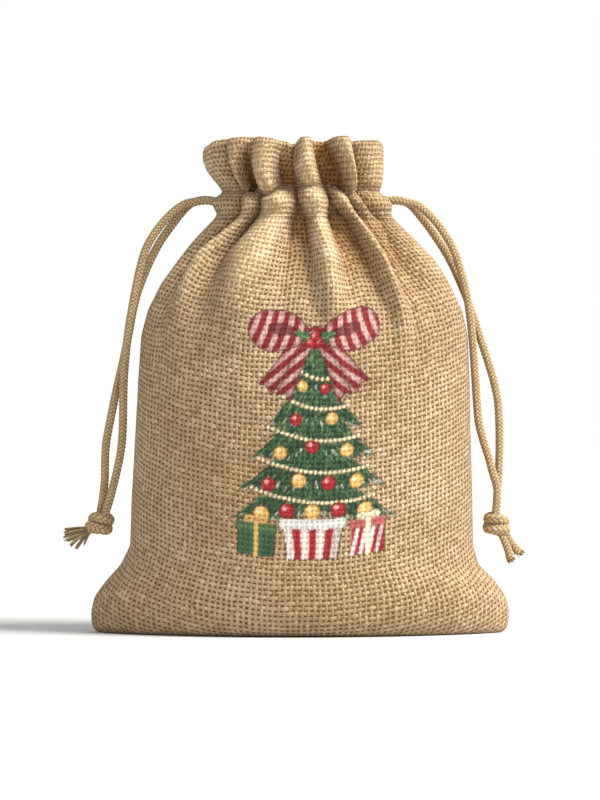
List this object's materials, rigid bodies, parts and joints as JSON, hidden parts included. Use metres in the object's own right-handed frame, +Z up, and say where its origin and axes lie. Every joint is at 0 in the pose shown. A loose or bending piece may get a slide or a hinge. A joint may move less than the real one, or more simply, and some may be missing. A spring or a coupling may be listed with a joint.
{
  "type": "drawstring gift pouch",
  "caption": "Filled upright pouch of coarse woven cloth with a gathered neck, a ruffle and a knotted drawstring loop at each side.",
  "frame": {"origin": "middle of the base, on the surface that the pouch stands on", "axes": "+Z up through the mouth, +Y from the printed front to the back, +X to the right seen from the front"},
  "size_m": [0.1446, 0.0608, 0.153],
  "materials": {
    "cloth": "coarse plain weave, matte",
    "thread": "spun thread, matte",
    "cord": "braided cotton, matte"
  },
  "bodies": {
    "pouch": {"front_panel": "cloth", "back_panel": "cloth", "left_seam_allowance": "cloth", "right_seam_allowance": "cloth", "bottom_seam_allowance": "cloth", "left_seam_stitching": "thread", "right_seam_stitching": "thread", "bottom_seam_stitching": "thread"},
    "mouth_front": {"front_channel": "cloth", "front_ruffle": "cloth", "front_upper_stitching": "thread", "front_lower_stitching": "thread", "left_cord_front_run": "cord", "right_cord_front_run": "cord"},
    "mouth_back": {"back_channel": "cloth", "back_ruffle": "cloth", "back_upper_stitching": "thread", "back_lower_stitching": "thread", "left_cord_back_run": "cord", "right_cord_back_run": "cord"},
    "left_lead": {"left_cord_lead": "cord"},
    "left_loop": {"left_cord_front_strand": "cord", "left_cord_back_strand": "cord", "left_knot": "cord", "left_frayed_ends": "cord"},
    "right_lead": {"right_cord_lead": "cord"},
    "right_loop": {"right_cord_front_strand": "cord", "right_cord_back_strand": "cord", "right_knot": "cord", "right_frayed_ends": "cord"}
  },
  "joints": [
    {"name": "mouth_front_open", "type": "slide", "parent": "pouch", "child": "mouth_front", "axis": [0, -1, 0], "range_m": [0, 0.012]},
    {"name": "mouth_back_open", "type": "slide", "parent": "pouch", "child": "mouth_back", "axis": [0, 1, 0], "range_m": [0, 0.012]},
    {"name": "left_swing", "type": "hinge", "parent": "pouch", "child": "left_lead", "pos_m": [-0.031, 0, 0.132], "axis": [0, 1, 0], "range_deg": [0, 80]},
    {"name": "left_feed", "type": "slide", "parent": "left_lead", "child": "left_loop", "axis": [0, 0, 1], "range_m": [0, 0.0175]},
    {"name": "right_swing", "type": "hinge", "parent": "pouch", "child": "right_lead", "pos_m": [0.031, 0, 0.1347], "axis": [0, -1, 0], "range_deg": [0, 80]},
    {"name": "right_feed", "type": "slide", "parent": "right_lead", "child": "right_loop", "axis": [0, 0, 1], "range_m": [0, 0.0175]}
  ],
  "couplings": [
    {"joint": "mouth_back_open", "follows": "mouth_front_open", "ratio": 1},
    {"joint": "left_feed", "follows": "mouth_front_open", "ratio": 1.45},
    {"joint": "right_feed", "follows": "mouth_front_open", "ratio": 1.45}
  ]
}
